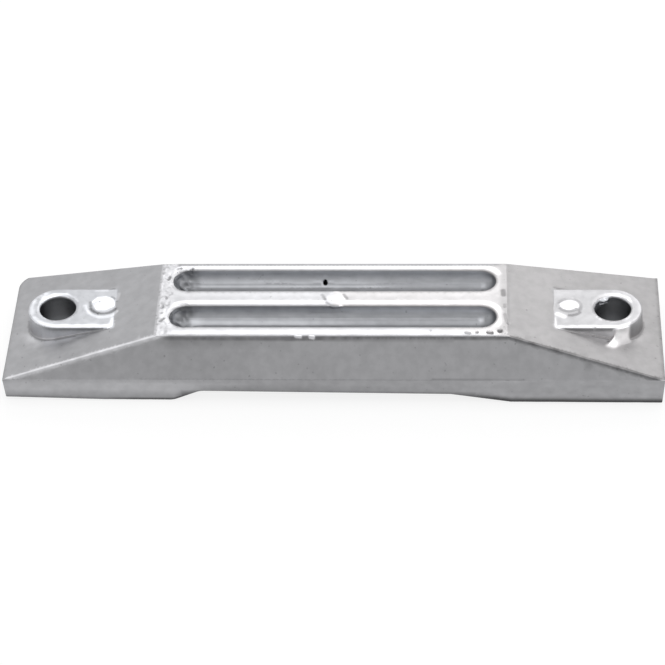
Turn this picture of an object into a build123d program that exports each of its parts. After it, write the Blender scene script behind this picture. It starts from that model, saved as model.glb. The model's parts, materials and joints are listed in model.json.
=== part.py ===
"""Bar anode: one casting that is bolted down through a lug near each end and is eaten away in service.

The bar is a low hipped block. Its top is a flat plateau with two ball-ended grooves, which give the water
more metal to reach. From the plateau the bar falls away on all four sides to the parting line, where the
halves of the die met, and below that line a band stands on two feet with a shallow relief between them.
The band is deeper at the right end than at the left, so all that is above it leans a little to the left.
Sizes are in millimetres: +X runs along the bar, +Y to its back and +Z up. The origin is in the middle of
the bar, on the plane that the feet stand on.
"""

import math
import os

from build123d import *

# Bolt holes and the lugs round them
bolt_spacing = 140.0
bolt_hole_diameter = 9.0  # an M8 bolt passes with a medium fit
lug_wall = 3.0  # metal round the hole
lug_height = 6.8  # from the parting line to the face that the bolt's head presses on
lug_draft = 2.0  # degrees that the walls lean out towards their foot
lug_edge_radius = 0.5
lug_root_radius = 0.4
hole_mouth_chamfer = 0.3
lug_overrun = 3.0  # how far a lug is carried on inside the slope

# Bar
bolt_to_end = 12.5
bar_width = 39.0  # at the parting line
plateau_height = 9.8  # from the parting line
plateau_length = 87.0
plateau_width = 27.6
left_band_height = 7.2  # from the feet to the parting line, at the left end
right_band_height = 8.2
band_draft = 3.0  # degrees that the band's sides lean in below the parting line
corner_radius = 1.0  # three corners of the plan
blunt_corner_radius = 4.0  # the back left corner, rounder than the rest
ridge_radius = 0.6  # along the hips and round the plateau
foot_edge_radius = 0.8  # round the whole underside

# Feet, and the relief between them
left_foot_length = 42.6
left_toe_length = 25.0  # the left foot rises towards its end, clear of the plane that the feet stand on
left_toe_lift = 0.75
left_ramp_length = 6.7
left_ramp_radius = 4.0  # at both ends of the ramp
left_relief_depth = 3.2
right_foot_length = 38.0
right_ramp_length = 15.0
right_ramp_radius = 30.0
right_relief_depth = 2.6

# Grooves
groove_to_plateau_end = 2.75  # from a ball end to the end of the plateau
groove_width = 7.75
groove_pitch = 13.7  # from the middle of one groove to the middle of the other
groove_shift = 0.3  # from the middle of the bar to the middle of the pair, towards the back
groove_rim_radius = 0.35

# Marks left by the pins that push the casting out of the die
pin_mark_diameter = 6.0
pin_mark_height = 0.25
pin_mark_to_bolt = 11.35  # from a lug's mark to its bolt
rib_pin_mark_x = 0.5
rib_pin_mark_depth = 0.6  # how far down the front groove its side shows

# Worked out from the sizes above
bolt_x = bolt_spacing / 2
half_length = bolt_x + bolt_to_end
half_width = bar_width / 2
half_plateau = plateau_length / 2
lug_radius = bolt_hole_diameter / 2 + lug_wall
groove_length = plateau_length - 2 * groove_to_plateau_end  # over the ball ends
groove_radius = groove_width / 2
lug_fade_x = half_length - (half_length - half_plateau) * lug_height / plateau_height
lug_pin_mark_x = bolt_x - pin_mark_to_bolt
band_height = (left_band_height + right_band_height) / 2
bar_height = band_height + plateau_height  # at the middle of the bar
deep_band_height = max(left_band_height, right_band_height) + 1  # before the underside is cut
left_heel_x = left_foot_length - half_length
right_heel_x = half_length - right_foot_length
lean = math.degrees(math.atan2(right_band_height - left_band_height, 2 * half_length))

# Seen from above, each lug is a U: a round boss about its bolt, and two straight sides that run into the
# slope until its flat top fades out at lug_fade_x. Its height is measured from the parting line.
with BuildPart() as lugs:
    with BuildSketch(Plane.XY.offset(lug_height)):
        with Locations((bolt_x, 0)):
            Circle(lug_radius)
            Rectangle(
                bolt_x - lug_fade_x + lug_overrun,
                2 * lug_radius,
                align=(Align.MAX, Align.CENTER),
            )
    extrude(amount=-lug_height)
    lug_walls = lugs.faces().filter_by(Axis.Z, reverse=True)
    draft(lug_walls, neutral_plane=Plane.XY.offset(lug_height), angle=lug_draft)
    fillet(lugs.faces().sort_by(Axis.Z)[-1].edges(), radius=lug_edge_radius)
    mirror(about=Plane.YZ)

# The casting as the die sees it: the parting line lies level in the XY plane.
with BuildPart() as casting:
    # Above the parting line the bar is what three outlines have in common: its plan, its side and its end.
    with BuildSketch() as plan:
        Rectangle(2 * half_length, bar_width)
        back_left = plan.vertices().group_by(Axis.X)[0].sort_by(Axis.Y)[-1]
        other_corners = [corner for corner in plan.vertices() if corner != back_left]
        fillet(back_left, radius=blunt_corner_radius)
        fillet(other_corners, radius=corner_radius)
    extrude(amount=plateau_height)

    with BuildSketch(Plane.XZ):
        with BuildLine():
            Polyline(
                (-half_length, 0),
                (-half_plateau, plateau_height),
                (half_plateau, plateau_height),
                (half_length, 0),
                close=True,
            )
        make_face()
    extrude(amount=half_width, both=True, mode=Mode.INTERSECT)

    with BuildSketch(Plane.YZ):
        with BuildLine():
            Polyline(
                (-half_width, 0),
                (-plateau_width / 2, plateau_height),
                (plateau_width / 2, plateau_height),
                (half_width, 0),
                close=True,
            )
        make_face()
    extrude(amount=half_length, both=True, mode=Mode.INTERSECT)

    # The hips and the edges of the plateau are the straight edges clear of the parting line.
    ridges = casting.edges().filter_by(GeomType.LINE)
    ridges = ridges.filter_by_position(Axis.Z, 0, plateau_height, inclusive=(False, True))
    fillet(ridges, radius=ridge_radius)

    # Below the parting line the band follows the plan, with draft so that it leaves the die.
    extrude(plan.sketch, amount=-deep_band_height, taper=band_draft)

    # The lugs rise out of the slopes, with a fillet round the foot of each wall.
    add(lugs)
    roots = casting.edges(Select.NEW)
    roots = roots.filter_by_position(Axis.Z, 0, lug_height - lug_edge_radius)
    fillet(roots, radius=lug_root_radius)

    # Each groove is half of a round bar with ball ends, sunk to its middle in the plateau.
    for groove_y in (groove_shift - groove_pitch / 2, groove_shift + groove_pitch / 2):
        with BuildSketch(Plane.XZ.offset(-groove_y)):
            with Locations((0, plateau_height)):
                SlotOverall(groove_length, groove_width)
                Rectangle(
                    groove_length,
                    groove_radius,
                    align=(Align.CENTER, Align.MAX),
                    mode=Mode.INTERSECT,
                )
        groove_axis = Axis((0, groove_y, plateau_height), (1, 0, 0))
        revolve(axis=groove_axis, mode=Mode.SUBTRACT)
    plateau = casting.faces().filter_by(Plane.XY).sort_by(Axis.Z)[-1]
    fillet(plateau.inner_wires().edges(), radius=groove_rim_radius)

    # A mark stands just proud of each lug and of the rib. The one on the rib bulges into the front groove.
    with Locations((-lug_pin_mark_x, 0, lug_height), (lug_pin_mark_x, 0, lug_height)):
        Cylinder(
            pin_mark_diameter / 2,
            pin_mark_height,
            align=(Align.CENTER, Align.CENTER, Align.MIN),
        )
    with Locations((rib_pin_mark_x, 0, plateau_height + pin_mark_height)):
        Cylinder(
            pin_mark_diameter / 2,
            pin_mark_height + rib_pin_mark_depth,
            align=(Align.CENTER, Align.CENTER, Align.MAX),
        )

# The bar as it stands: the casting leans to the left over its feet.
with BuildPart() as anode:
    with Locations((0, 0, band_height)):
        add(casting.part, rotation=(0, -lean, 0))

    # The underside is cut across the whole width. Between the feet it rises steeply from the left foot and
    # gently from the right one.
    with BuildSketch(Plane.XZ) as underside:
        with BuildLine():
            Polyline(
                (-half_length, left_toe_lift),
                (left_toe_length - half_length, 0),
                (left_heel_x, 0),
                (left_heel_x + left_ramp_length, left_relief_depth),
                (right_heel_x - right_ramp_length, right_relief_depth),
                (right_heel_x, 0),
                (half_length, 0),
                (half_length, -deep_band_height),
                (-half_length, -deep_band_height),
                close=True,
            )
        make_face()
        ramp_ends = underside.vertices().filter_by_position(Axis.X, left_heel_x, right_heel_x)
        ramp_ends = ramp_ends.sort_by(Axis.X)
        fillet(ramp_ends[:2], radius=left_ramp_radius)
        fillet(ramp_ends[2:], radius=right_ramp_radius)
    extrude(amount=half_width, both=True, mode=Mode.SUBTRACT)

    # An edge that only one of the faces below owns is on the outline of the underside.
    faces_below = anode.faces().filter_by_position(Axis.Z, 0, left_relief_depth)
    faces_below = faces_below.filter_by(lambda face: face.normal_at().Z < -0.5)
    edges_below = faces_below.edges()
    fillet([edge for edge in edges_below if edges_below.count(edge) == 1], radius=foot_edge_radius)

    # The bolt holes stand square on the feet, and their mouths on the lugs are broken.
    with Locations((-bolt_x, 0, bar_height), (bolt_x, 0, bar_height)):
        Hole(bolt_hole_diameter / 2)
    hole_edges = anode.edges(Select.LAST)
    chamfer(hole_edges.sort_by(Axis.Z)[-2:], length=hole_mouth_chamfer)

anode.part.label = "anode"
os.makedirs("parts", exist_ok=True)
export_step(anode.part, "parts/anode.step")
print(f"anode: {anode.part.volume / 1000:.1f} cm3, {anode.part.bounding_box().size}")
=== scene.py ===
# %% [markdown]
# # A bar anode, cast in one piece
#
# This file dresses one part: a die-cast metal bar that is bolted under a boat's drive and corrodes in its
# place. The bar has no pieces that come apart, so the lesson is about one mesh and one metal. The packed
# model gives the shape. What is added here is what casting and handling leave behind: the skin, the pits
# and burrs, and flats that are brighter than the slopes round them. Part of that brightness is painted
# highlight, and much of the shade on the bar is painted into the metal's tone as well.

import json
import math

import bmesh
import bpy
from mathutils import Matrix, Vector, noise


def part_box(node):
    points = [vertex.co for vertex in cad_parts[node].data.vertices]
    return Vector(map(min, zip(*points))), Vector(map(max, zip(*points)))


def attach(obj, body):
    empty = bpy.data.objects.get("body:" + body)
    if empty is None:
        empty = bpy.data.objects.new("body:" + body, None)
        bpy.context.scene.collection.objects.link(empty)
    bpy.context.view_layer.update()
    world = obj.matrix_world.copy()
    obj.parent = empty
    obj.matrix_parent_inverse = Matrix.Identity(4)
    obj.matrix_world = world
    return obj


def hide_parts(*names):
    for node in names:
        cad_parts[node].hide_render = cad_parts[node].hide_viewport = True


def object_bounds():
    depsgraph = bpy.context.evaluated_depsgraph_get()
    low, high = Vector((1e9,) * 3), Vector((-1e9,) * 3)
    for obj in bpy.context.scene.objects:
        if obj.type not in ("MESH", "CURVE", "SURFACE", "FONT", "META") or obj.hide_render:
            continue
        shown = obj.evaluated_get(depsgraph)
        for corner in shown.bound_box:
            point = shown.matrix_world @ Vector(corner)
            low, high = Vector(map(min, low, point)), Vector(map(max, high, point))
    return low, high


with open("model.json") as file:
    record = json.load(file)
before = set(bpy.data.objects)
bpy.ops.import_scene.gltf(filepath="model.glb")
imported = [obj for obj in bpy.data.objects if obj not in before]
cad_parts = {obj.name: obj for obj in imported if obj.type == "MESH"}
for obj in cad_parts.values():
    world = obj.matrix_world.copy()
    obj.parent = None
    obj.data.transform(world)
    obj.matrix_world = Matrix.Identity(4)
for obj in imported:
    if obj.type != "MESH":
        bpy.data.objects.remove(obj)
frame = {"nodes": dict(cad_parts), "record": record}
cad_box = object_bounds()
mm = 0.001
print("the packed bar measures", [round(side / mm, 2) for side in cad_box[1] - cad_box[0]], "mm")

# %% [markdown]
# ## The camera
#
# A long lens from seventy centimetres keeps the far edge of the bar nearly as long as the near one, as in a
# catalogue picture. The camera looks down by about 42 degrees, stands a little to the right of the bar's
# middle and leans by two degrees. A constraint could aim it, but three plain angles and a
# distance are easier to read back.

# %% Place the camera
frame_pixels = 665
focal_pixels = 2755.5  # the lens, as a number of pixels per radian
sensor_width = 36
look_down = 0.7261  # this angle and the next two are in radians
turn = -0.0593
lean = 0.0340
distance = 704.2 * mm
beside_line = 0.584 * mm  # how far the bar's origin stands from the line of sight
below_line = 4.695 * mm
nearest_seen = 10 * mm
farthest_seen = 100

level = Vector((math.cos(turn), -math.sin(turn), 0))
away = Vector((math.sin(turn), math.cos(turn), 0))
ahead = math.cos(look_down) * away - math.sin(look_down) * Vector((0, 0, 1))
rise = math.sin(look_down) * away + math.cos(look_down) * Vector((0, 0, 1))
picture_right = math.cos(lean) * level - math.sin(lean) * rise
picture_up = math.sin(lean) * level + math.cos(lean) * rise

lens = bpy.data.cameras.new("camera")
lens.sensor_width = sensor_width
lens.lens = focal_pixels * sensor_width / frame_pixels
lens.clip_start = nearest_seen
lens.clip_end = farthest_seen
camera = bpy.data.objects.new("camera", lens)
camera.location = below_line * rise - beside_line * level - distance * ahead
camera.rotation_mode = "QUATERNION"
camera.rotation_quaternion = Matrix((picture_right, picture_up, -ahead)).transposed().to_quaternion()
bpy.context.scene.collection.objects.link(camera)
bpy.context.scene.camera = camera
print("camera: lens", round(lens.lens, 1), "mm, at", [round(place, 3) for place in camera.location])

# %% [markdown]
# ## Small helpers for nodes
#
# A material is a graph of nodes. A few helpers keep each graph readable: one adds a node and sets its
# values, one adds a maths step on plain numbers or sockets, one fades smoothly between two values, and one
# tells what the camera and the metal see from what only gives light.


# %% Helpers that build node graphs
def add_node(tree, kind, **values):
    """Add a node of this kind. Each value goes to the input, or else the setting, of that name."""
    node = tree.nodes.new(kind)
    for name, value in values.items():
        title = name.replace("_", " ")
        if title in node.inputs.keys():
            join(tree, value, node.inputs[title])
        else:
            setattr(node, name, value)
    return node


def join(tree, value, socket):
    """Wire a socket to the input, or write a plain value into it."""
    if isinstance(value, bpy.types.NodeSocket):
        tree.links.new(value, socket)
    else:
        socket.default_value = value


def calculate(tree, operation, *terms):
    """Add a maths step on one to three numbers or sockets, and hand back its result."""
    node = add_node(tree, "ShaderNodeMath", operation=operation)
    for term, socket in zip(terms, node.inputs):
        join(tree, term, socket)
    return node.outputs[0]


def fade(tree, value, start, end, low=0.0, high=1.0):
    """Turn a value that runs from start to end into one that runs smoothly from low to high."""
    node = add_node(tree, "ShaderNodeMapRange", interpolation_type="SMOOTHSTEP", Value=value)
    node.inputs["From Min"].default_value = start
    node.inputs["From Max"].default_value = end
    node.inputs["To Min"].default_value = low
    node.inputs["To Max"].default_value = high
    return node.outputs[0]


def seen_or_mirrored(tree):
    """1 for what the camera sees, straight or in a mirror, and 0 for what only lights dull surfaces."""
    ray = add_node(tree, "ShaderNodeLightPath").outputs
    mirrored = calculate(tree, "MAXIMUM", ray["Is Glossy Ray"], ray["Is Transmission Ray"])
    return calculate(tree, "MAXIMUM", ray["Is Camera Ray"], mirrored)


print("helpers: add_node, join, calculate, fade and seen_or_mirrored")

# %% [markdown]
# ## The studio
#
# Bare metal has no colour of its own to speak of: it shows what stands round it. So the room matters as
# much as the finish. It is white behind the bar and overhead, and greyer behind the camera, which is what
# gives the front faces their darker tone. The camera itself sees white all round. Dull surfaces get less
# from the room than mirrors do, so that the lamps can model the shape.

# %% Colour the room
scene = bpy.context.scene
scene.view_settings.view_transform = "Standard"

room_behind_camera = 0.62  # brightness of the room's near side, where its far side is 1
room_near_from = -0.15  # the grey starts here, where 1 is straight behind the bar and -1 is opposite,
room_near_to = -0.75  # and it is full here
fill_level = 0.55  # brightness of the room as far as dull surfaces go

world = bpy.data.worlds.new("room")
world.use_nodes = True
scene.world = world
room = world.node_tree
room.nodes.clear()
direction = add_node(room, "ShaderNodeTexCoord").outputs["Generated"]
toward_back = add_node(room, "ShaderNodeSeparateXYZ", Vector=direction).outputs["Y"]
shade = fade(room, toward_back, room_near_to, room_near_from, room_behind_camera, 1.0)
camera_ray = add_node(room, "ShaderNodeLightPath").outputs["Is Camera Ray"]
seen_shade = calculate(room, "MAXIMUM", shade, camera_ray)
level_in_room = add_node(room, "ShaderNodeMix", data_type="FLOAT", Factor=seen_or_mirrored(room))
join(room, fill_level, level_in_room.inputs["A"])
join(room, seen_shade, level_in_room.inputs["B"])
backdrop = add_node(room, "ShaderNodeBackground", Color=(1, 1, 1, 1), Strength=level_in_room.outputs[0])
add_node(room, "ShaderNodeOutputWorld", Surface=backdrop.outputs[0])
print("room: white at the back,", room_behind_camera, "behind the camera")

# %% [markdown]
# The floor is a plain white sheet. For what the camera and the metal see of it, part of its white glows by
# itself, so that it stays white without more light on the bar, and the rest is lit, so that it keeps the
# bar's soft shadow. From below it is see-through, which leaves the underside of the bar open to view.

# %% Lay the floor
floor_half = 4.0

sheet = bmesh.new()
bmesh.ops.create_grid(sheet, x_segments=1, y_segments=1, size=floor_half)
floor_mesh = bpy.data.meshes.new("floor")
sheet.to_mesh(floor_mesh)
sheet.free()
floor = bpy.data.objects.new("floor", floor_mesh)
scene.collection.objects.link(floor)
print("floor:", 2 * floor_half, "m square")

# %% Make the floor white
floor_glow = 0.80
floor_paint = 0.26

white_sheet = bpy.data.materials.new("white_sheet")
white_sheet.use_nodes = True
tree = white_sheet.node_tree
tree.nodes.clear()
paint = add_node(tree, "ShaderNodeBsdfDiffuse", Color=(floor_paint, floor_paint, floor_paint, 1))
glow_level = calculate(tree, "MULTIPLY", seen_or_mirrored(tree), floor_glow)
glow = add_node(tree, "ShaderNodeEmission", Color=(1, 1, 1, 1), Strength=glow_level)
upper_side = add_node(tree, "ShaderNodeAddShader")
join(tree, paint.outputs[0], upper_side.inputs[0])
join(tree, glow.outputs[0], upper_side.inputs[1])
clear = add_node(tree, "ShaderNodeBsdfTransparent")
from_below = add_node(tree, "ShaderNodeNewGeometry").outputs["Backfacing"]
either_side = add_node(tree, "ShaderNodeMixShader", Fac=from_below)
join(tree, upper_side.outputs[0], either_side.inputs[1])
join(tree, clear.outputs[0], either_side.inputs[2])
add_node(tree, "ShaderNodeOutputMaterial", Surface=either_side.outputs[0])
floor_mesh.materials.append(white_sheet)
print("floor: glows at", floor_glow, "and its paint is", floor_paint)

# %% [markdown]
# Two soft lamps are enough. The one above and behind the bar hangs where the flats mirror it to the camera,
# so the flats turn bright, and the slopes, turned by 14 degrees, miss it. The one overhead is wide and gives
# every face an even light.


# %% Hang the lamps
def hang_lamp(name, place, aim, width, depth, power):
    """A rectangular soft lamp that shines from its place towards a point."""
    lamp = bpy.data.lights.new(name, "AREA")
    lamp.shape = "RECTANGLE"
    lamp.size = width
    lamp.size_y = depth
    lamp.energy = power
    holder = bpy.data.objects.new(name, lamp)
    holder.location = place
    holder.rotation_mode = "QUATERNION"
    holder.rotation_quaternion = (Vector(aim) - Vector(place)).to_track_quat("-Z", "Y")
    scene.collection.objects.link(holder)
    return holder


middle_of_bar = (0, 0, 10 * mm)
behind = hang_lamp(
    "softbox_behind", place=(0.05, 0.95, 0.86), aim=middle_of_bar, width=0.62, depth=0.5, power=1.9
)
overhead = hang_lamp(
    "softbox_overhead", place=(0.15, -0.05, 1.2), aim=middle_of_bar, width=1.1, depth=0.9, power=4.0
)
print("lamps:", behind.name, "and", overhead.name)

# %% [markdown]
# ## The casting's own frame
#
# The bar stands on its feet, but it was cast with its parting line level, and its band is a millimetre
# deeper at the right end. So everything above the band leans by a third of a degree. Marks on the casting
# are easiest to place in its own frame: millimetres, with the parting line at height zero.

# %% Set up the casting's frame
left_band_height = 7.2
right_band_height = 8.2
far_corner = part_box("anode")[1]
half_length = round(far_corner.x / mm, 1)
half_width = round(far_corner.y / mm, 1)

band_height = (left_band_height + right_band_height) / 2
cast_lean = math.atan2(right_band_height - left_band_height, 2 * half_length)
to_cast = Matrix.Rotation(cast_lean, 4, "Y") @ Matrix.Translation((0, 0, -band_height))
to_cast = to_cast @ Matrix.Scale(1 / mm, 4)
from_cast = to_cast.inverted()
print("the casting leans by", round(math.degrees(cast_lean), 2), "degrees")

# %% [markdown]
# The record that is packed with the model gives the bolt holes. The other sizes are the casting's own: the
# flat plateau, the two grooves in it, and the two lugs that rise out of the slopes.

# %% Set down the sizes of the casting
bolts = next(mount for mount in frame["record"]["mounts"] if mount["kind"] == "bolt_pattern")
bolt_x = bolts["dims"]["spacing_x_mm"] / 2
bolt_radius = bolts["dims"]["hole_r_mm"]

plateau_height = 9.8
half_plateau_length = 43.5
half_plateau_width = 13.8
slope_run = half_length - half_plateau_length
slope_rise = half_width - half_plateau_width  # how far a side slope runs out, seen from above

groove_shift = 0.3  # the pair of grooves sits a little towards the back
groove_y = 6.85  # from the middle of the pair to each groove's middle
groove_radius = 3.875
groove_to_plateau_end = 2.75
groove_straight = half_plateau_length - groove_to_plateau_end - groove_radius  # to the centre of a ball end

lug_height = 6.8
lug_wall = 3.0
lug_radius = bolt_radius + lug_wall
lug_draft = math.radians(2)
lug_start = round(half_length - slope_run * lug_height / plateau_height, 1)  # where its flat top comes out
pin_mark_x = bolt_x - 11.35  # an ejector pin's mark on each lug
rib_mark_x = 0.5
print("bolt holes:", 2 * bolt_radius, "mm wide and", 2 * bolt_x, "mm apart, lugs from", lug_start)

# %% [markdown]
# ## A net that can hold detail
#
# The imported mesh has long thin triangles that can't be dented or painted. A copy of it is cut into cells of
# two millimetres, along the two axes that each face lies along. Cutting halves, then halves of halves, keeps
# every cut short. Where there is an edge or a mark, long sides are then halved until the cells are fine.

# %% Cut faces into cells
on_the_cut = 1e-4  # a point this near to a cut, as a share of a cell, counts as on it
shortest_side = 0.02 * mm


def cut_faces(shape, faces, axis, first, last, step):
    """Cut the faces at the grid plane in the middle, then each half at its own middle."""
    if last - first < 2 or not faces:
        return
    middle = (first + last) // 2
    direction = Vector((0, 0, 0))
    direction[axis] = 1
    touched = set(faces)
    for face in faces:
        touched.update(face.edges)
        touched.update(face.verts)
    cut = bmesh.ops.bisect_plane(
        shape,
        geom=list(touched),
        dist=on_the_cut * step,
        plane_co=direction * middle * step,
        plane_no=direction,
    )
    pieces = [piece for piece in cut["geom"] if isinstance(piece, bmesh.types.BMFace)]
    below = [face for face in pieces if face.calc_center_median()[axis] < middle * step]
    above = [face for face in pieces if face.calc_center_median()[axis] >= middle * step]
    cut_faces(shape, below, axis, first, middle, step)
    cut_faces(shape, above, axis, middle, last, step)


def lies_along(face, axis):
    """Whether a face lies along an axis, more than across it."""
    return face.normal[axis] ** 2 < max(side**2 for side in face.normal)


def lay_net(shape, step):
    """Cut every face into cells of this size, along the two axes that it lies along."""
    for axis in range(3):
        lying = [face for face in shape.faces if lies_along(face, axis)]
        first = math.floor(min(vertex.co[axis] for vertex in shape.verts) / step)
        last = math.ceil(max(vertex.co[axis] for vertex in shape.verts) / step)
        cut_faces(shape, lying, axis, first, last, step)
    bmesh.ops.triangulate(shape, faces=shape.faces)
    bmesh.ops.dissolve_degenerate(shape, dist=shortest_side, edges=shape.edges)


print("the net merges points nearer than", shortest_side / mm, "mm")

# %% [markdown]
# Halving long sides leaves two kinds of litter round slivers: pairs of faces on the same three corners, and
# flaps that hang on the net by one side. Both are taken out, so that the net stays closed.


# %% Halve long sides, and clear the litter
def drop_double_faces(shape):
    """Take out each pair of faces on the same three corners, which is what a split sliver leaves."""
    seen = {}
    doubled = []
    for face in shape.faces:
        corners = frozenset(face.verts)
        if corners in seen:
            doubled += [seen.pop(corners), face]
        else:
            seen[corners] = face
    bmesh.ops.delete(shape, geom=doubled, context="FACES")


def drop_flaps(shape):
    """Take out faces that hang on the net by one side only."""
    flaps = [face for face in shape.faces if sum(side.is_boundary for side in face.edges) > 1]
    bmesh.ops.delete(shape, geom=flaps, context="FACES")


halvings = 3


def refine(shape, longest, wanted):
    """Halve the wanted sides that are longer than this, and halve them again while they are."""
    for halving in range(halvings):
        sides = [side for side in shape.edges if side.calc_length() > longest]
        ends = {end for side in sides for end in side.verts}
        wanted_ends = {end for end in ends if wanted(*(to_cast @ end.co))}
        sides = [side for side in sides if wanted_ends.intersection(side.verts)]
        bmesh.ops.subdivide_edges(shape, edges=sides, cuts=1)
        split = [face for face in shape.faces if len(face.verts) > 3]
        bmesh.ops.triangulate(shape, faces=split)
        drop_double_faces(shape)


print("a side is halved up to", halvings, "times")

# %% [markdown]
# Each edge of the casting has a simple outline from above, so its distance is a short formula. The same
# formulas choose where the net is fine and, further down, where the tone is lifted by rubbed metal and
# painted highlight, or lowered by painted shade.


# %% Distances to the edges of the casting
def past_groove(x, y):
    """Distance from the outline of the nearer groove, negative inside it."""
    across = abs(y - groove_shift) - groove_y
    return math.hypot(max(abs(x) - groove_straight, 0), across) - groove_radius


def past_hole(x, y):
    """Distance from the wall of the nearer bolt hole, negative inside it."""
    return math.hypot(abs(x) - bolt_x, y) - bolt_radius


def past_lug(x, y):
    """Distance from the outline of the nearer lug, negative inside it."""
    boss = math.hypot(max(abs(x) - bolt_x, 0), y) - lug_radius
    return max(boss, lug_start - abs(x))


def past_plateau(x, y):
    """Distance from the outline of the plateau, negative inside it."""
    return max(abs(x) - half_plateau_length, abs(y) - half_plateau_width)


def past_hip(x, y):
    """Distance from the nearest hip, positive towards the bar's ends."""
    out = abs(x) - half_plateau_length
    return (out * slope_rise - (abs(y) - half_plateau_width) * slope_run) / math.hypot(slope_run, slope_rise)


print("the rib between the grooves is", round(2 * past_groove(0, groove_shift), 2), "mm wide")

# %% [markdown]
# The net is fine in strips: along the hips and the parting line, round the plateau, the grooves, the holes
# and the lugs, and round the foot of the bar. It is finer still in the patches that hold the marks.

# %% Choose where the net is fine
edge_reach = 0.4  # half the width of the fine strip along an edge
edge_depth = 1.2  # how far below a flat its edges are fine
end_strip = 1.5  # how far in from the outline the foot's strip starts
foot_strip = 1.6  # height of the fine strip above the foot
rim_strip = 2.2  # width of the fine strip round a groove
root_reach = 0.8  # half the width of the fine strip round a lug's foot
root_middle = 0.5  # its middle, outside the lug's outline


def near_edge(x, y, z):
    """Whether a place on the casting is beside one of its upper edges, or on the edge of its foot."""
    if z < -edge_reach:
        past_outline = max(abs(x) - half_length, abs(y) - half_width)
        return z < foot_strip - left_band_height and past_outline > -end_strip
    if z > plateau_height - 0.2 and 0 < past_groove(x, y) < rim_strip:
        return True
    if abs(x) > lug_start - 1 and abs(past_lug(x, y) - root_middle) < root_reach:
        return True
    if abs(x) > lug_start and z > lug_height - 0.1 and past_lug(x, y) < 0:
        return True
    distances = [past_hip(x, y), z]
    if z > plateau_height - edge_depth:
        distances += [past_groove(x, y), past_plateau(x, y)]
    if abs(x) > lug_start - 1 and z > lug_height - edge_depth:
        distances += [past_hole(x, y)]
    return min(abs(distance) for distance in distances) < edge_reach


# Where there is a mark to shape: the patch's left, right, front and back in the casting's frame
marked_patches = {
    "left_end_of_plateau": (-44.1, -35.2, -14.2, 14.2),
    "left_mark": (-62.8, -54.6, -4.6, 4.6),
    "right_mark": (54.6, 63.2, -4.6, 4.6),
    "rib_mark": (-4.2, 5.0, -3.8, 3.8),
    "blowhole": (-4.0, -1.0, 8.0, 11.4),
    "front_pits": (31.0, 44.5, -14.4, -11.0),
    "front_burrs": (-11.0, -2.0, -14.6, -13.0),
    "right_edge_marks": (41.0, 44.6, -10.0, 5.0),
    "right_lug_foot": (66.0, 75.6, -12.0, -5.6),
    "hole_burr": (64.6, 69.0, 1.0, 5.2),
    "lug_nick": (64.4, 66.2, -8.2, -6.6),
}
marks_from = 0.5  # nothing is marked below this height


def in_patch(x, y, z):
    """Whether a place on the casting's top is in a patch that holds a mark."""
    return z > marks_from and any(
        left < x < right and front < y < back for left, right, front, back in marked_patches.values()
    )


print(len(marked_patches), "patches for marks")

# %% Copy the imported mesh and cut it
same_place = 1e-3 * mm
nearly_flat = 0.002  # radians between two faces that are taken as one
plain_cell = 2.0 * mm
edge_cell = 1.0 * mm
mark_cell = 0.5 * mm

node = frame["nodes"]["anode"]
shape = bmesh.new()
shape.from_mesh(node.data)
bmesh.ops.remove_doubles(shape, verts=shape.verts, dist=same_place)
bmesh.ops.dissolve_limit(shape, angle_limit=nearly_flat, verts=shape.verts, edges=shape.edges)
lay_net(shape, plain_cell)
print("open net:", len(shape.faces), "triangles")
refine(shape, edge_cell, near_edge)
refine(shape, mark_cell, in_patch)
drop_flaps(shape)
open_sides = sum(1 for side in shape.edges if side.is_boundary)
print("fine net:", len(shape.faces), "triangles,", open_sides, "open sides")

# %% [markdown]
# ## Marks on the casting
#
# A mark is a stroke: a few points seen from above, a reach, and what it does. The same strokes shape the
# metal and colour it, so a dent is where its dark patch is. They need a few helpers first: a smooth step, a
# band made of two, smooth noise, and the distance to a stroke.

# %% Helpers for smooth steps and noise
full_share = 0.35  # how much of a band's width is at full strength
seed_step_x = 7.3  # how far apart two seeds look in the noise
seed_step_z = -3.1


def ease(value, start, end):
    """Run smoothly from 0 at start to 1 at end."""
    part = min(max((value - start) / (end - start), 0), 1)
    return part * part * (3 - 2 * part)


def fade_out(value, start, end):
    """Run smoothly from 1 at start to 0 at end."""
    return 1 - ease(value, start, end)


def band(value, middle, width):
    """1 in the middle of a band, 0 beyond its width on either side."""
    return fade_out(abs(value - middle), full_share * width, width)


def mix(first, second, part):
    """Blend from the first value, at 0, to the second, at 1."""
    return first + (second - first) * part


def ripple(x, y, z, size, seed):
    """Smooth noise between -1 and 1 whose waves are about this long."""
    return noise.noise(Vector((x / size + seed_step_x * seed, y / size, z / size + seed_step_z * seed)))


def between(value, stops):
    """Read a value off a line through a few stops, each a place and a level."""
    for (start, low), (end, high) in zip(stops, stops[1:]):
        if value < end:
            return low + (high - low) * max(value - start, 0) / (end - start)
    return stops[-1][1]


print("a quarter of the way up a smooth step:", ease(0.25, 0, 1))


# %% Helpers for strokes
def distance_to_stroke(x, y, points):
    """Distance from a place to the line through the points, seen from above."""
    place = Vector((x, y))
    if len(points) == 1:
        return (place - Vector(points[0])).length
    nearest = math.inf
    for start, end in zip(points, points[1:]):
        along = Vector(end) - Vector(start)
        part = min(max((place - Vector(start)).dot(along) / along.length_squared, 0), 1)
        nearest = min(nearest, (place - Vector(start) - part * along).length)
    return nearest


arc_step = 15  # degrees


def arc(x, y, radius, start, end):
    """Points along an arc, between two angles in degrees."""
    count = 2 + abs(end - start) // arc_step
    angles = [math.radians(start + (end - start) * step / (count - 1)) for step in range(count)]
    return [(x + radius * math.cos(angle), y + radius * math.sin(angle)) for angle in angles]


print("a half circle has", len(arc(0, 0, 1, 0, 180)), "points")

# %% [markdown]
# Each mark lists its points, its reach from them, how far it lifts the skin in millimetres, and the tone
# that it leaves, from 0 for black to 1 for the brightest metal. A mark with no lift is a stain or a rub.

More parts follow.
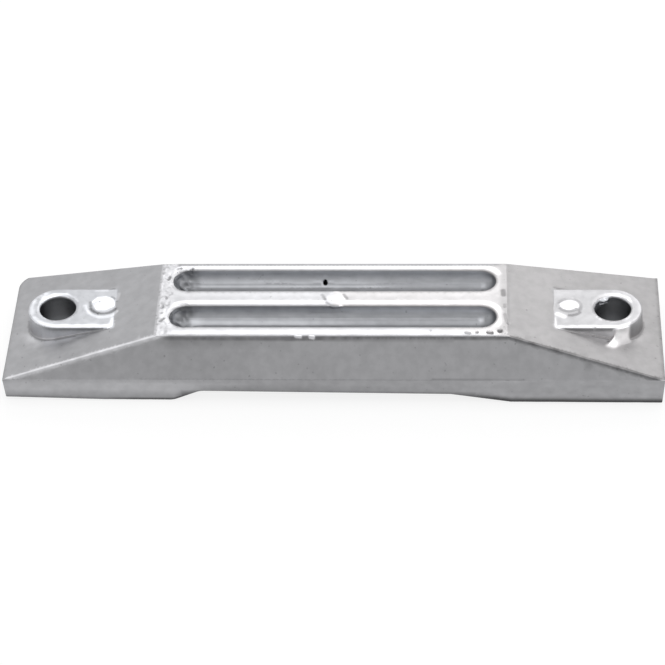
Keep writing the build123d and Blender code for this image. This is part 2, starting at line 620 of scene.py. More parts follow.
# %% Marks on the lugs
left_lug_marks = [
    # ejector pin: a moat with painted shade round the bright pad, a bright lip in front, and two strokes
    # beside them
    (arc(-58.5, 1.2, 3.5, 205, 335), 0.5, -0.08, 0.20),
    (arc(-58.3, 1.4, 3.3, 20, 60), 0.35, -0.03, 0.27),
    (arc(-58.6, 0.7, 4.3, 205, 330), 0.6, 0.06, 0.62),
    ([(-61.9, 2.2), (-61.7, 0.6)], 0.5, 0.0, 0.26),
    ([(-63.2, 1.0), (-62.6, -1.4)], 0.55, 0.05, 0.60),
    # painted highlights round the edge
    ([(-76.9, 1.4), (-76.4, -1.6)], 0.8, 0.0, 0.60),
    ([(-75.2, 4.4), (-74.4, 5.2)], 0.6, 0.0, 0.56),
    ([(-61.0, 6.6), (-58.0, 6.8)], 0.5, 0.0, 0.54),
    ([(-54.9, 5.4), (-55.2, 3.2)], 0.6, 0.0, 0.52),
]
right_lug_marks = [
    # ejector pin: a ring of painted shade, and a bright burr in front of it
    (arc(59.2, 0.7, 2.95, -35, 150), 0.55, -0.04, 0.30),
    (arc(59.0, 1.2, 2.5, 215, 320), 0.65, -0.05, 0.28),
    (arc(59.4, 0.4, 3.2, 265, 320), 0.5, -0.04, 0.24),
    ([(56.2, -2.2), (57.8, -3.2)], 0.9, 0.05, 0.62),
]
print(len(left_lug_marks), "marks on the left lug and", len(right_lug_marks), "on the right one")

# %% Marks on the plateau
rib_marks = [
    # ejector pin: dull scrapes on both sides, a speck of metal in front and a dark notch behind
    ([(-2.9, 1.6), (-2.2, -0.2)], 0.5, -0.05, 0.33),
    ([(-1.8, -1.4), (-1.0, -2.2)], 0.5, -0.03, 0.36),
    ([(2.6, 1.6), (3.4, 0.2)], 0.5, -0.06, 0.29),
    ([(2.0, -2.7)], 0.7, 0.08, 0.7),
    ([(1.8, 3.4), (2.8, 3.4)], 0.45, -0.1, 0.15),
]
front_pits = [
    ([(33.2, -12.6), (34.2, -12.9)], 0.5, -0.15, 0.32),
    ([(36.0, -12.5)], 0.55, -0.2, 0.27),
    ([(38.8, -12.5), (39.6, -12.7)], 0.65, -0.25, 0.17),
    ([(41.7, -12.0)], 0.85, -0.3, 0.13),
    ([(24.5, -12.0)], 0.5, -0.1, 0.33),
]
right_edge_nicks = [
    ([(42.6, 3.3), (42.7, 1.6)], 0.8, -0.06, 0.22),
    ([(43.0, -2.0), (43.0, -2.9)], 0.55, -0.06, 0.29),
    ([(42.9, -5.6), (43.2, -7.6), (43.8, -9.2)], 0.55, -0.06, 0.30),
]
left_end_flecks = [
    ([(-42.0, 8.6), (-42.3, 7.6)], 0.5, -0.12, 0.27),
    ([(-42.4, 0.9), (-42.2, 0.2)], 0.45, -0.12, 0.31),
    ([(-42.9, -2.6), (-43.1, -3.4)], 0.5, -0.12, 0.29),
    ([(-42.3, -7.3), (-43.1, -8.3)], 0.5, -0.12, 0.30),
    ([(-43.0, -5.2)], 0.5, -0.1, 0.32),
    ([(-41.0, -6.0), (-40.6, -7.2)], 0.5, -0.1, 0.33),
    ([(-40.2, 11.6), (-39.4, 11.8)], 0.5, -0.1, 0.3),
]
rim_marks = [
    # burrs on the front edge of the plateau, and a gap in the far rim of the back groove
    ([(-9.0, -13.8), (-7.6, -13.9)], 0.35, 0.1, 0.7),
    ([(-5.4, -13.9), (-4.4, -14.0)], 0.4, 0.12, 0.75),
    ([(-36.7, 11.0), (-36.5, 11.7)], 0.5, -0.3, 0.17),
]
plateau_marks = rib_marks + front_pits + right_edge_nicks + left_end_flecks + rim_marks
print(len(plateau_marks), "marks on the plateau")

# %% Marks beside the lugs
slope_marks = [
    # nick in the front of the right lug
    ([(65.2, -7.2), (65.3, -7.6)], 0.45, -0.12, 0.5),
    # dull streaks on the left slope, in front of the lug
    ([(-68.4, -10.2), (-64.8, -10.8)], 0.8, -0.02, 0.36),
    ([(-64.6, -9.3), (-62.2, -9.4)], 0.6, -0.02, 0.37),
    # painted shade on the slope in front of the right lug
    ([(68.9, -8.9)], 0.6, 0.0, 0.27),
]
marks = left_lug_marks + right_lug_marks + plateau_marks + slope_marks
farthest_mark = 9  # a place this far from a mark's first point, along the bar, is out of its reach
print(len(marks), "marks in all")

# %% [markdown]
# ## Shape the skin
#
# The skin sinks a little here and there, as die-cast skin does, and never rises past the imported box. On top
# of that come the marks, the rough left end of the plateau, the lumps in the left ends of the grooves, and
# the blowhole in the back groove, where gas was caught in the metal.

# %% How far the skin stands out
hollow_depth = 0.01
hollow_size = 24
rough_end = (40.8, 42.0)  # the plateau turns rough over this stretch towards its left end
smooth_again = (43.4, 44.0)  # past the plateau's edge the skin turns smooth again over this one
rough_rim = (36, 37.5)  # the rims of the grooves turn rough over this one
rim_width = (0.6, 1.4)  # a rough rim fades out between these distances from its groove
rough_end_depth = 0.07
rough_rim_depth = 0.10
grain_size = 1.3
lumpy_end = (35.5, 37.5)
lump_height = 0.26
lump_size = 1.5
blowhole_x = -2.5
blowhole_y = 9.7
blowhole_radius = 0.6
blowhole_depth = 0.8
full_depth_share = 0.2  # a blowhole and a mark are at full depth over this share of their radius


def lift_of_skin(x, y, z):
    """How far the skin stands out (positive) or in at a place, in millimetres."""
    lift = hollow_depth * (ripple(x, y, z, hollow_size, 1) - 1)
    if z < marks_from:
        return lift
    on_top = z > plateau_height - 0.6 and past_groove(x, y) > -0.3
    if on_top:
        at_end = rough_end_depth * ease(-x, *rough_end) * fade_out(-x, *smooth_again)
        at_rim = rough_rim_depth * ease(-x, *rough_rim) * fade_out(past_groove(x, y), *rim_width)
        lift -= max(at_end, at_rim) * (1 + ripple(x, y, z, grain_size, 3))
    in_groove = z < plateau_height - 0.3 and past_groove(x, y) < -0.2
    if in_groove:
        lift += ease(-x, *lumpy_end) * lump_height * ripple(x, y, z, lump_size, 4)
        from_blowhole = math.hypot(x - blowhole_x, y - blowhole_y)
        lift -= blowhole_depth * fade_out(from_blowhole, full_depth_share * blowhole_radius, blowhole_radius)
        return lift
    for points, reach, height, tone in marks:
        if height and abs(x - points[0][0]) < farthest_mark:
            lift += height * fade_out(distance_to_stroke(x, y, points), full_depth_share * reach, reach)
    return lift


print("the blowhole is", -round(lift_of_skin(blowhole_x, blowhole_y, 6.5), 2), "mm deep")

# %% [markdown]
# In front of the right lug's boss, metal has run down the wall and fills its foot with a smooth curve. It is
# made by raising the slope beside the wall to a quarter circle, along one line only.

# %% The run of metal on the right lug
run_line = [(73.0, -6.6), (70.9, -8.4), (69.0, -11.0)]
run_edge = (0.5, 1.6)  # the run fades out between these distances from its line
run_radius = 3.3
run_top = lug_height - 0.3


def run_part(x, y):
    """1 on the line down which metal has run, 0 beside it."""
    return fade_out(distance_to_stroke(x, y, run_line), *run_edge)


def fill_run(x, y, z):
    """Height of the skin where metal has run down the right lug's wall and rounds off its foot."""
    out = past_lug(x, y) - 0.15
    slope = (half_length - x) / slope_run * plateau_height
    if x < 60 or out < -0.3 or out > run_radius or z > run_top or z < slope - 0.2:
        return z
    fillet = run_radius - math.sqrt(run_radius**2 - (run_radius - max(out, 0)) ** 2)
    return max(z, min(z + fillet * run_part(x, y), run_top))


print("the run raises the slope by", round(fill_run(70.9, -8.4, 3.0) - 3.0, 2), "mm near the wall")

# %% [markdown]
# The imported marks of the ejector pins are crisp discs. On the casting they are worn to gentle swellings, so
# each disc's top sinks towards its side, and its side is drawn in a little. The points only move: merging
# them would open the net.

# %% Wear down the pin marks
pin_marks = [
    # the mark's middle, the face that it stands on, its height when worn, and how far out it stays flat
    (-pin_mark_x, lug_height, 0.12, 2.0),
    (pin_mark_x, lug_height, 0.12, 1.8),
    (rib_mark_x, plateau_height, 0.24, 0.3),
]
worn_radius = 3.6
worn_edge = 3.55
draw_in = 0.3  # how far a point is drawn in, as a share of its radius, for each millimetre of height


def wear_pin_mark(x, y, z):
    """Where a point goes when the pin marks are worn down. Other points stay where they are."""
    for middle, face_height, worn_height, flat in pin_marks:
        out = math.hypot(x - middle, y)
        if out < worn_radius and z > face_height - 0.02:
            inward = 1 - draw_in * max(z - face_height, 0)
            height = worn_height * fade_out(inward * out, flat, worn_edge)
            return Vector((middle + inward * (x - middle), inward * y, face_height + height))
    return Vector((x, y, z))


for vertex in shape.verts:
    vertex.co = from_cast @ wear_pin_mark(*(to_cast @ vertex.co))
shape.normal_update()
print(len(pin_marks), "pin marks worn down")

# %% [markdown]
# One loop moves the skin. It keeps each point's place and direction from before the move, because the tones
# further down are set by them. The burr in the right bolt hole is a tongue of metal that leans inwards from
# the wall just below the mouth.

# %% Move the skin
burr_angle = math.radians(117)  # round the right bolt hole
burr_width = 0.35  # radians to either side
burr_length = 0.9
burr_foot = lug_height - 2
burr_full = lug_height - 1
burr_top = lug_height - 0.2

skin_places = [to_cast @ vertex.co for vertex in shape.verts]
turn_to_cast = to_cast.to_3x3().normalized()
skin_normals = [(turn_to_cast @ vertex.normal).normalized() for vertex in shape.verts]
for vertex, place, normal in zip(shape.verts, skin_places, skin_normals):
    x, y, z = place
    moved = place + normal * lift_of_skin(x, y, z)
    moved.z = max(moved.z, fill_run(x, y, moved.z))
    if x > 60 and abs(past_hole(x, y)) < 0.1 and burr_foot < z < burr_top:
        around = math.atan2(y, x - bolt_x)
        burr = band(around, burr_angle, burr_width) * ease(z, burr_foot, burr_full)
        moved -= burr_length * burr * Vector((math.cos(around), math.sin(around), 0))
    vertex.co = from_cast @ moved
    for axis in range(3):
        vertex.co[axis] = min(max(vertex.co[axis], cad_box[0][axis]), cad_box[1][axis])
print("skin moved:", len(shape.verts), "points")

# %% [markdown]
# ## Tone of the metal
#
# Every point gets a tone: how much light its metal gives back. It is between 0.3 and 0.5 on plain skin. Edges
# that are rubbed bright and carry painted highlights go up to 0.8, and corners, creases and holes with
# painted shade go down to 0.1 and less. A second number, the gleam, says how smooth the metal is rubbed. An
# image could carry both, but a formula for each kind of surface stays sharp at any distance, and it says why
# the metal looks as it does there.

# %% Tones that more than one surface shares
skin_tone = 0.45
# rubbed metal, which also carries painted highlight along rims and edges
rubbed_and_highlight_tone = 0.60
wander_size = 1.6  # every line and edge wanders a little, by noise with waves this long
wander_seed = 8


def wander_at(x, y, z):
    """Noise that makes lines and edges wander."""
    return ripple(x, y, z, wander_size, wander_seed)


print("plain skin", skin_tone, "and rubbed metal", rubbed_and_highlight_tone)

# %% [markdown]
# A groove's tone is set by the angle round it: painted shade along its lowest line and painted highlight
# streaks above it, with a faint ripple where metal flowed along the die. Its left end filled last and is
# mottled, and its right end is smooth and falls into shade. The blowhole is painted black, as painted shade.

# %% Tones inside the grooves
# Painted light and shade by the angle round a groove's half circle, where 0 degrees is its lowest line and 90
# its far rim
back_groove_light_and_shade = [(0, 0.45), (5, 0.12), (10, 0.19), (24, 0.16), (28, 0.21), (38, 0.28), (48, 0.49)]
back_groove_light_and_shade += [(58, 0.50), (75, 0.33), (80, 0.38), (88, 0.42)]
front_groove_light_and_shade = [(0, 0.45), (5, 0.10), (10, 0.17), (15, 0.23), (36, 0.255), (43, 0.37), (50, 0.45)]
front_groove_light_and_shade += [(70, 0.48), (76, 0.42), (88, 0.34)]
back_highlight_streaks = [
    # tone, strength, angle, width, and by how much and over which stretch of the bar it fades out
    (0.45, 0.55, 26, 6, 0.75, (8, 20)),
    (0.62, 0.9, 47, 7, 1, (2, 18)),
]
flow_seed = 11
flow_strength = 0.10


def tone_along_back_groove(tone, x, angle):
    """Add the back groove's two painted highlight streaks, which fade out towards the right."""
    for streak_highlight_tone, strength, middle, width, fading, stretch in back_highlight_streaks:
        strength *= 1 - fading * ease(x, *stretch)
        tone = mix(tone, streak_highlight_tone, strength * band(angle, middle, width))
    return tone


def tone_along_front_groove(tone, x, angle):
    """Paint light on the front groove's low wall, and shade on its high wall, towards the left."""
    low_wall = ease(-x, -15, 12) * ease(angle, 9, 18) * fade_out(angle, 18, 48)
    high_wall = ease(-x, -8, 3) * ease(angle, 56, 64)
    return tone * (1 + 0.5 * low_wall) * (1 - 0.3 * high_wall)


print(len(back_highlight_streaks), "streaks along the back groove")

# %% Tones at the ends of the grooves
mottled_end = (34.0, 36.0)  # the mottle sets in over this stretch towards the left end,
bright_tip = (38.5, 40.6)  # and turns brighter over this one
mottle_tone = 0.25
bright_tip_tone = 0.60
bright_lump_tone = 0.45
shaded_end = (0.3, 2.4)  # how far past its straight part a groove falls into shade at its right end,
dark_tip = (2.7, 3.6)  # and turns dark
shaded_end_tone = 0.34
dark_tip_tone = 0.21


def tone_at_groove_ends(tone, x, y, z):
    """Mottle the left end of a groove and shade the right one."""
    mottled = ease(-x, *mottled_end)
    tone = mix(tone, mix(mottle_tone, bright_tip_tone, ease(-x, *bright_tip)), 0.7 * mottled)
    tone *= 1 - 0.25 * mottled * ease(ripple(x, y, z, 1.7, 5), -0.4, 0.4)
    tone = mix(tone, bright_lump_tone, 0.6 * mottled * ease(ripple(x, y, z, 1.2, 6), 0.2, 0.6))
    past_straight = x - groove_straight
    tone = mix(tone, shaded_end_tone, 0.75 * ease(past_straight, *shaded_end))
    return mix(tone, dark_tip_tone, 0.9 * ease(past_straight, *dark_tip))


print("tone in a groove's right tip:", round(tone_at_groove_ends(0.3, groove_straight + 3.6, 7, 9), 2))

# %% Spots in the grooves
# the blowhole is painted black as shade, and each groove's right end holds a painted highlight
blowhole_shade_tone = 0.004
blowhole_edge_tone = 0.5
back_end_highlight_tone = 0.45
front_end_highlight_tone = 0.48
patch_x = -34.9
patch_tone = 0.44


def tone_of_back_spots(tone, x, y, angle):
    """Add the painted highlight in the back groove's right end, and the blowhole, painted black as shade,
    with its bright edge.
    """
    tone = mix(tone, back_end_highlight_tone, 0.7 * band(x, 38.0, 0.9) * band(angle, 30, 18))
    out = math.hypot(x - blowhole_x, y - blowhole_y)
    left_edge = band(out, 1.35 * blowhole_radius, 0.5) * ease(y - x, 10, 14)
    tone = mix(tone, blowhole_edge_tone, 0.7 * left_edge)
    return mix(tone, blowhole_shade_tone, fade_out(out, 0.85 * blowhole_radius, 1.1 * blowhole_radius))


def tone_of_front_spots(tone, x, angle):
    """Add the bright patch where the front groove's mottled end starts, and the painted highlight in its
    right end.
    """
    patch = fade_out(abs(x - patch_x), 0.4, 2.0) * fade_out(abs(angle - 30), 6, 30)
    tone = mix(tone, patch_tone, 0.8 * patch)
    return mix(tone, front_end_highlight_tone, band(x, 37.2, 1.0) * band(angle, 38, 16))


def groove_tone(x, y, z):
    """Tone inside a groove."""
    at_back = y > groove_shift
    away = y - groove_shift - (groove_y if at_back else -groove_y)
    angle = math.degrees(math.atan2(away, max(plateau_height - z, 0.01)))
    tone = between(angle, back_groove_light_and_shade if at_back else front_groove_light_and_shade)
    tone *= 1 + flow_strength * ripple(x / 3, angle / 9, 0, 1, flow_seed)
    if at_back:
        tone = tone_along_back_groove(tone, x, angle)
        return tone_of_back_spots(tone_at_groove_ends(tone, x, y, z), x, y, angle)
    tone = tone_along_front_groove(tone, x, angle)
    return tone_of_front_spots(tone_at_groove_ends(tone, x, y, z), x, angle)


print("tone in the blowhole:", round(groove_tone(blowhole_x, blowhole_y, 6.5), 3))

# %% Tones inside the bolt holes
# painted shade inside the bolt holes, and painted light on the right hole's burr and the wall beside it
bore_top_shade_tone = 0.42
bore_deep_shade_tone = 0.22
bore_side_shade_share = 0.3  # painted shade: the sides of a hole give back this share of what its far wall does
burr_highlight_tone = 0.9
burr_root_light_tone = 0.85


def shaded_bore_tone(x, y, z):
    """Tone inside a bolt hole: painted shade that darkens with depth and is near black at the sides, with a
    painted highlight on the burr at one place and painted light on the wall beside it.
    """
    depth = lug_height - z
    tone = mix(bore_top_shade_tone, bore_deep_shade_tone, ease(depth, 1.5, 6.0))
    tone *= mix(bore_side_shade_share, 1, ease(y / bolt_radius, 0.1, 0.75))
    if x > 0:
        around = math.atan2(y, x - bolt_x)
        burr_root = band(around, burr_angle + 0.8, 0.9) * fade_out(depth, 1.6, 3.4)
        tone = mix(tone, burr_root_light_tone, burr_root)
        tone = mix(tone, burr_highlight_tone, band(around, burr_angle, 0.4) * fade_out(depth, 1.4, 2.2))
    return tone


print("tone half way down the far wall:", round(shaded_bore_tone(-bolt_x, bolt_radius, lug_height / 2), 2))

# %% [markdown]
# Die-cast skin is plain on the slopes and on the front, though the slopes are painted a little darker, as
# painted shade. Near the lugs the tone changes: the left lug's wall carries painted light, the right one
# painted shade with a painted highlight in front, a line of painted shade runs round their foot, and the
# slope is painted darker behind the right lug and lighter behind the left one. The left hip carries a painted
# highlight line, while the right hip carries a painted shade line and the front edge under the plateau is
# darker.

# %% Tones of the lugs' walls, and of the slopes beside them
# painted light and shade on the lugs' walls, round their foot and on the slope behind them
left_wall_lit_tone = 0.74
left_wall_end_tone = 0.45
right_wall_shade_tone = 0.34
right_wall_highlight_tone = 0.75
under_edge_shade_tone = 0.36
root_width = 0.42
left_root_shade_tone = 0.28
right_root_shade_tone = 0.30
left_behind_tone = 0.47
right_behind_shade_tone = 0.30
left_light = 0.5  # painted light: how much brighter the slope is in front of a lug's wall
right_light = 0.25


def lug_front(y):
    """1 along the front of a lug, 0 behind its middle."""
    return ease(-y, 2, 6)


def wall_tone(x, y, z):
    """Tone of a lug's wall: painted light on the left one, painted shade on the right one with a painted
    highlight in front, and painted shadow just under the lug's edge.
    """
    at_front = lug_front(y)
    if x < 0:
        tone = mix(left_wall_lit_tone, left_wall_end_tone, ease(-x, 72, 75.5))
    else:
        tone = mix(right_wall_shade_tone, right_wall_highlight_tone, at_front * fade_out(x, 70, 73))
    return mix(tone, under_edge_shade_tone, at_front * ease(z, lug_height - 1.6, lug_height - 0.5))


def beside_wall_tone(tone, x, y, z, out):
    """Tone of a slope at this distance from a lug's wall, where the plain slope has the tone given."""
    # a line of painted shade round the lug's foot
    if out < root_width:
        return left_root_shade_tone if x < 0 else right_root_shade_tone
    # painted light on the slope in front of the wall
    lit = lug_front(y) * fade_out(out, 0.8, 3.2) * ease(lug_height - z, 1.0, 3.2)
    tone *= 1 + (left_light if x < 0 else right_light) * lit
    # darker behind the right lug, as painted shade, and lighter behind the left one
    behind_lug = ease(y, 4, 7) * fade_out(out, 0.5, 1.2) * ease(wander_at(x, y, z), -0.4, 0.3)
    return mix(tone, left_behind_tone if x < 0 else right_behind_shade_tone, behind_lug)


print("tone of the left lug's wall in front:", wall_tone(-bolt_x, -lug_radius, 3))

# %% Tones of the slopes, the front and the back
# the slopes are painted a little darker than the skin, as painted shade, and the hips carry painted highlight
# and shade lines
left_slope_shaded_tone = 0.405
right_slope_shaded_tone = 0.425
left_hip_highlight_tone = 0.78
right_hip_shade_tone = 0.16
under_rim_tone = 0.20
lug_reach = 3.5  # how far from a lug's wall its slope still differs
hip_line_edge = (0.28, 0.6)  # a hip's line fades out between these distances from the hip


def front_line_tone(tone, x, y, z):
    """Add the lines of the front edges to the tone: a painted highlight on the left hip, painted shade on the
    right hip, and a darker line under the plateau.
    """
    strength = 0.85 + 0.3 * wander_at(x, y, z)
    hip_line = fade_out(abs(past_hip(x, y)), *hip_line_edge)
    tone = mix(tone, left_hip_highlight_tone if x < 0 else right_hip_shade_tone, hip_line * strength)
    if abs(x) < half_plateau_length:
        line_height = plateau_height - 0.4 - 0.35 * ease(-x, -10, 20)
        under_rim = band(z, line_height, 0.8) * ease(x, -half_plateau_length, -40)
        tone = mix(tone, under_rim_tone, under_rim * strength)
    return tone


def side_tone(x, y, z, up):
    """Tone of the slopes, the front and back, and the walls of the lugs."""
    tone = skin_tone
    if past_hip(x, y) > 0:
        tone = left_slope_shaded_tone if x < 0 else right_slope_shaded_tone
    out = past_lug(x, y) - (lug_height - z) * math.tan(lug_draft)
    if abs(x) > lug_start and out < lug_reach:
        on_wall = out < 0.04 and up < 0.8
        tone = wall_tone(x, y, z) if on_wall else beside_wall_tone(tone, x, y, z, out)
    return front_line_tone(tone, x, y, z) if y < 0 else tone


print("tone on the left hip:", round(side_tone(-63, -16.65, 4.9, 0.9), 2))

# %% [markdown]
# The band below the parting line is painted darker than the skin above it, as painted shade, apart from the
# left foot, and its lower edge is painted nearly black, as painted shadow, where the foot's rounding turns
# under.

# %% Tones of the band
# the band is painted darker as shade, and its turned-under edge nearly black as painted shadow
band_shade_tone = 0.33
left_foot_tone = 0.45
right_foot_tone = 0.355
turned_under_shadow_tone = 0.06
# Height of the underside along the bar, above the plane that the feet stand on
underside = [(-82.5, 0.75), (-57.5, 0), (-39.9, 0), (-33.2, 3.2), (29.5, 2.6), (44.5, 0), (82.5, 0)]


def band_part_tone(x, y, z, up):
    """Tone of the band below the parting line: painted shade, and painted shadow along its turned-under edge.
    """
    at_left = ease(-x, 18, 34) * ease(z, -6, -2.5) * (1 - 0.6 * ease(z, -2.2, -0.2))
    tone = mix(band_shade_tone, left_foot_tone, at_left)
    on_right_foot = ease(x, 28, 40)
    tone = mix(tone, right_foot_tone, on_right_foot)
    streaks = ripple(x / 4, y, z, 0.9, 10) * on_right_foot
    tone *= 1 + 0.10 * streaks + 0.04 * wander_at(x, y, z)

    above = (from_cast @ Vector((x, y, z))).z / mm - between(x, underside)
    at_right = ease(x, 26, 42)
    under = mix(mix(0.4, 0.9, ease(x, -60, -48)), 0.35, ease(x, -38, -32))
    under = mix(under, 1, at_right) * fade_out(-up, 0.8, 0.95)
    return mix(tone, turned_under_shadow_tone, under * fade_out(above, 0.7, mix(1.5, 2.5, at_right)))


print("tone in the middle of the band:", round(band_part_tone(0, -half_width, -2, 0), 2))

# %% [markdown]
# The flats are where hands and other castings rub. The plateau is bright along its front and round its
# grooves, rubbed and with painted highlight on top, with painted shade right at the grooves' edges and its
# front edge. It is dull in a thin line at the far edge, speckled at its rough left end and plain at the right
# one. The tops of the lugs are bright along their edges, round the mouths of the holes and on the pin marks,
# and the bright edges and mouths are painted highlight as well as rubbed metal.

# %% Tones of the plateau
flat_tone = 0.475
far_edge = (12.5, 13.1)  # the plateau turns dull over this stretch towards its far edge
far_edge_tone = 0.30
right_end = (41, 42.5)
right_end_tone = 0.39
rough_dark_tone = 0.37
rough_bright_tone = 0.54
rim_middle = 1.5  # from a groove to the middle of its bright rim
front_rub = (11.3, 12.3)  # the front strip is rubbed bright from here on, towards the front
rib_pad_y = 0.3
rib_pad_edge = (2.0, 2.9)  # the rib's pin mark fades out between these distances from its middle


def plateau_tone_and_gleam(x, y, wander, grain):
    """Tone and gleam of the plateau."""
    from_rim = past_groove(x, y)
    along_rim = max(ease(-y, 0, 0.8) * fade_out(-y, 9, 11), ease(y, 9, 10))
    rim = fade_out(abs(from_rim - rim_middle), 0.5 + 0.2 * wander, 1.0) * (0.25 + 0.75 * along_rim)
    front = (0.75 + 0.2 * wander) * ease(-y, *front_rub)
    from_pad = math.hypot(x - rib_mark_x, y - rib_pad_y) + 0.4 * wander
    gleam = max(rim, front, 0.9 * fade_out(from_pad, *rib_pad_edge))
    gleam *= fade_out(y, 12.5, 13.0) * (1 - 0.8 * ease(-y, 13.0, 13.7))

    tone = mix(flat_tone * (1 + 0.05 * wander), far_edge_tone, ease(y, *far_edge))
    # painted shade right along the grooves' edges and on the plateau's front edge
    tone *= 1 - 0.42 * fade_out(from_rim, 0.1, 1.0) - 0.4 * ease(-y, 13.1, 13.8)
    rough = ease(-x, 39.8 + 1.4 * wander, 41.2 + wander)
    speckle = ease(grain + 0.6 * wander, -0.65, 0.0)
    tone = mix(tone, mix(rough_dark_tone, rough_bright_tone, speckle), rough)
    tone = mix(tone, right_end_tone, ease(x, *right_end))
    gleam *= (1 - 0.4 * rough) * (1 - 0.7 * ease(x, 41.2, 42.4))
    # the gleam lifts the tone: rubbed metal with painted highlight on top
    return mix(tone, rubbed_and_highlight_tone, gleam), gleam


rib_middle = plateau_tone_and_gleam(20, groove_shift, 0, 0)
print("tone and gleam on the rib:", [round(value, 2) for value in rib_middle])

# %% Tones of the lugs' tops
left_lug_tone = 0.435
right_lug_tone = 0.41
left_lug_rubbed_and_highlight_tone = 0.74
left_pad = (-58.6, 1.7, 2.5)  # where a pin mark is rubbed bright: its middle and its radius
right_pad = (59.4, 1.3, 2.1)
pad_edge = 0.6
left_edge_width = 0.8  # width of the bright edge of each lug
right_edge_width = 0.55
edge_softness = 0.8
fade_in_slope = 0.45  # how far the bright edge runs on where the lug fades into the slope


def lug_top_tone_and_gleam(x, y, wander, grain):
    """Tone and gleam of the flat top of a lug."""
    edge_width = (left_edge_width if x < 0 else right_edge_width) + 0.25 * wander
    from_side = lug_radius - math.hypot(max(abs(x) - bolt_x, 0), y)
    from_wall = min(from_side, abs(x) - lug_start + fade_in_slope)
    edge = fade_out(from_wall, edge_width, edge_width + edge_softness)
    mouth_width = 0.5 + 0.6 * ease(y, 1, 4)
    mouth = fade_out(past_hole(x, y), mouth_width, mouth_width + 0.5)
    if x > 0:
        edge *= max(lug_front(y), 0.35 * ease(x, 70, 74))
        mouth *= 0.25 + 0.75 * max(ease(y, 0.5, 3) * ease(x, 66, 71), ease(-y, 1, 3.5))
    else:
        edge *= max(lug_front(y), 0.8 * ease(-x, 70, 74) * ease(wander, -0.6, 0.2))
        mouth *= 0.3 + 0.7 * ease(y, 0.5, 3) * ease(-x, 66.5, 69.0)
    pad_x, pad_y, pad_radius = left_pad if x < 0 else right_pad
    from_pad = math.hypot(x - pad_x, y - pad_y) + 0.4 * wander
    gleam = max(edge, mouth, fade_out(from_pad, pad_radius, pad_radius + pad_edge))
    tone = (left_lug_tone if x < 0 else right_lug_tone) * (1 + 0.08 * wander + 0.05 * grain)
    # the gleam lifts the tone: rubbed metal, with painted highlight on the edges and round the hole's mouth
    return mix(tone, left_lug_rubbed_and_highlight_tone if x < 0 else rubbed_and_highlight_tone, gleam), gleam


mark_middle = lug_top_tone_and_gleam(pin_mark_x, 1, 0, 0)
print("tone and gleam on the right pin mark:", [round(value, 2) for value in mark_middle])

# %% [markdown]
# A place's height and outline say which of these surfaces it is on. The strokes of the marks come over it,
# and the run of metal, fresh metal with a painted highlight at full brightness, over them.

# %% Choose the tone of a place
marks_above = lug_height - 0.9  # off the slopes, only places above this height show marks
# the run of metal is painted at full brightness as a highlight
run_highlight_tone = 1.0
groove_gleam = 0.2


def surface_tone_and_gleam(x, y, z, up):
    """Tone and gleam of the slopes, the sides and the flats, with no marks on them."""
    on_plateau = z > plateau_height - 0.2
    on_lug = abs(z - lug_height) < 0.42 and past_lug(x, y) < 0.05 and up > 0.6
    if not (on_plateau or on_lug):
        return side_tone(x, y, z, up), 0.0
    wander = wander_at(x, y, z)
    grain = ripple(x, y, z, 0.7, 9)
    if on_plateau:
        return plateau_tone_and_gleam(x, y, wander, grain)
    return lug_top_tone_and_gleam(x, y, wander, grain)


def tone_and_gleam(x, y, z, up):
    """Tone and gleam of the metal at a place, where up is the upward part of the skin's direction."""
    if past_hole(x, y) < 0.15 and z < lug_height - 0.25:
        return shaded_bore_tone(x, y, z), 0.0
    if past_groove(x, y) < 0.05 and plateau_height - 5 < z < plateau_height - 0.12:
        return groove_tone(x, y, z), groove_gleam
    if z < 0.15:
        return band_part_tone(x, y, z, up), 0.0
    tone, gleam = surface_tone_and_gleam(x, y, z, up)
    on_slope = up > 0.9 and past_hip(x, y) > 0
    if on_slope or z > marks_above:
        for points, reach, height, mark_tone in marks:
            if abs(x - points[0][0]) < farthest_mark:
                reached = fade_out(distance_to_stroke(x, y, points), 0.45 * reach, 1.1 * reach)
                tone = mix(tone, mark_tone, reached)
    if x > 60 and past_lug(x, y) > -0.4 and z < lug_height:
        tone = mix(tone, run_highlight_tone, run_part(x, y) * fade_out(past_lug(x, y), 2.4, 4.2))
    return tone, gleam


def coolness(x, y, z):
    """How bluish the grey is: 0 on the right slope, 1 in the grooves and bolt holes."""
    if past_groove(x, y) < 0 or past_hole(x, y) < 0.15:
        return 1.0
    if past_lug(x, y) < 0.1:
        return 0.9 if x < 0 else 0.35
    if past_hip(x, y) > 0 and z > 0:
        return 0.5 if x < 0 else 0.0
    return 0.5


print("the front is", coolness(0, -half_width, 3), "cool")

# %% Paint the net
tones = shape.verts.layers.float.new("tone")
gleams = shape.verts.layers.float.new("gleam")
cools = shape.verts.layers.float.new("cool")
for vertex, place, normal in zip(shape.verts, skin_places, skin_normals):
    vertex[tones], vertex[gleams] = tone_and_gleam(*place, normal.z)
    vertex[cools] = coolness(*place)
average_tone = sum(vertex[tones] for vertex in shape.verts) / len(shape.verts)
print("painted; the average tone is", round(average_tone, 2))

# %% Make the piece
sharp_from = math.radians(28)

casting_mesh = bpy.data.meshes.new("anode_casting")
shape.to_mesh(casting_mesh)
shape.free()
casting_mesh.shade_smooth()
casting_mesh.set_sharp_from_angle(angle=sharp_from)
casting = bpy.data.objects.new("anode_casting", casting_mesh)
scene.collection.objects.link(casting)
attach(casting, "root")
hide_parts("anode")
print("casting:", len(casting_mesh.polygons), "triangles")

# %% [markdown]
# ## The metal
#
# One metal, whose colour is the painted tone, tinted a little from warm to cool grey. A fine mottle, soft
# clouds and small specks break the tone up, the gleam makes the metal smoother, and a shallow bump stands in
# for the grain of the skin, which is finer than the net.

# %% Break up the painted tone
mottle_scale = 420.0  # waves in a metre
cloud_scale = 90.0
speck_scale = 900.0

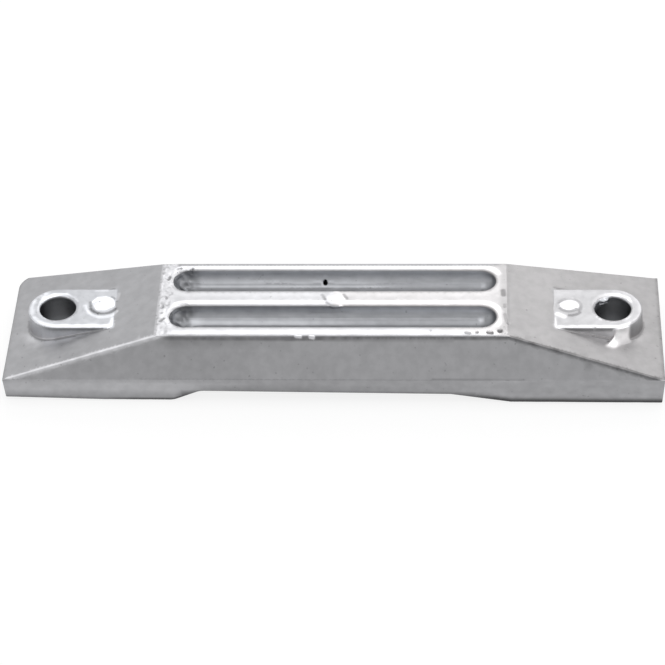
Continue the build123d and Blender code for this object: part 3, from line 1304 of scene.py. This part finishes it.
metal = bpy.data.materials.new("cast_metal")
metal.use_nodes = True
tree = metal.node_tree
tree.nodes.clear()
place = add_node(tree, "ShaderNodeTexCoord").outputs["Object"]
tone = add_node(tree, "ShaderNodeAttribute", attribute_name="tone").outputs["Fac"]
mottle = add_node(tree, "ShaderNodeTexNoise", Vector=place, Scale=mottle_scale, Detail=4.0).outputs["Fac"]
cloud = add_node(tree, "ShaderNodeTexNoise", Vector=place, Scale=cloud_scale, Detail=2.0).outputs["Fac"]
specks = add_node(tree, "ShaderNodeTexNoise", Vector=place, Scale=speck_scale, Detail=1.0).outputs["Fac"]
mottled = calculate(tree, "MULTIPLY", tone, fade(tree, mottle, 0.3, 0.7, 0.95, 1.05))
clouded = calculate(tree, "MULTIPLY", mottled, fade(tree, cloud, 0.3, 0.7, 0.97, 1.03))
flecked = calculate(tree, "MULTIPLY", clouded, fade(tree, specks, 0.72, 0.8, 1.0, 0.75))
print("mottle of", round(1000 / mottle_scale, 1), "mm and clouds of", round(1000 / cloud_scale, 1), "mm")

# %% Tint the grey
warm_grey = (1.0, 0.98, 0.99)
cool_grey = (0.98, 1.0, 1.05)

cool = add_node(tree, "ShaderNodeAttribute", attribute_name="cool").outputs["Fac"]
tint = add_node(tree, "ShaderNodeMix", data_type="VECTOR", Factor=cool)
tint_ends = [socket for socket in tint.inputs if socket.type == "VECTOR" and socket.name in "AB"]
join(tree, warm_grey, tint_ends[0])
join(tree, cool_grey, tint_ends[1])
tint_colour = next(socket for socket in tint.outputs if socket.type == "VECTOR")
colour = add_node(tree, "ShaderNodeVectorMath", operation="SCALE")
join(tree, tint_colour, colour.inputs[0])
join(tree, flecked, colour.inputs["Scale"])
print("tint from", warm_grey, "to", cool_grey)

# %% Finish the metal
skin_roughness = 0.42
rubbed_roughness = 0.3
bump_strength = 0.25
bump_height = 0.02 * mm

gleam = add_node(tree, "ShaderNodeAttribute", attribute_name="gleam").outputs["Fac"]
roughness = fade(tree, gleam, 0.0, 1.0, skin_roughness, rubbed_roughness)
bump = add_node(tree, "ShaderNodeBump", Height=mottle, Strength=bump_strength, Distance=bump_height)
surface = add_node(tree, "ShaderNodeBsdfPrincipled", Metallic=1.0, Roughness=roughness)
join(tree, colour.outputs[0], surface.inputs["Base Color"])
join(tree, bump.outputs[0], surface.inputs["Normal"])
add_node(tree, "ShaderNodeOutputMaterial", Surface=surface.outputs[0])
casting_mesh.materials.append(metal)
print("metal: roughness", rubbed_roughness, "to", skin_roughness)
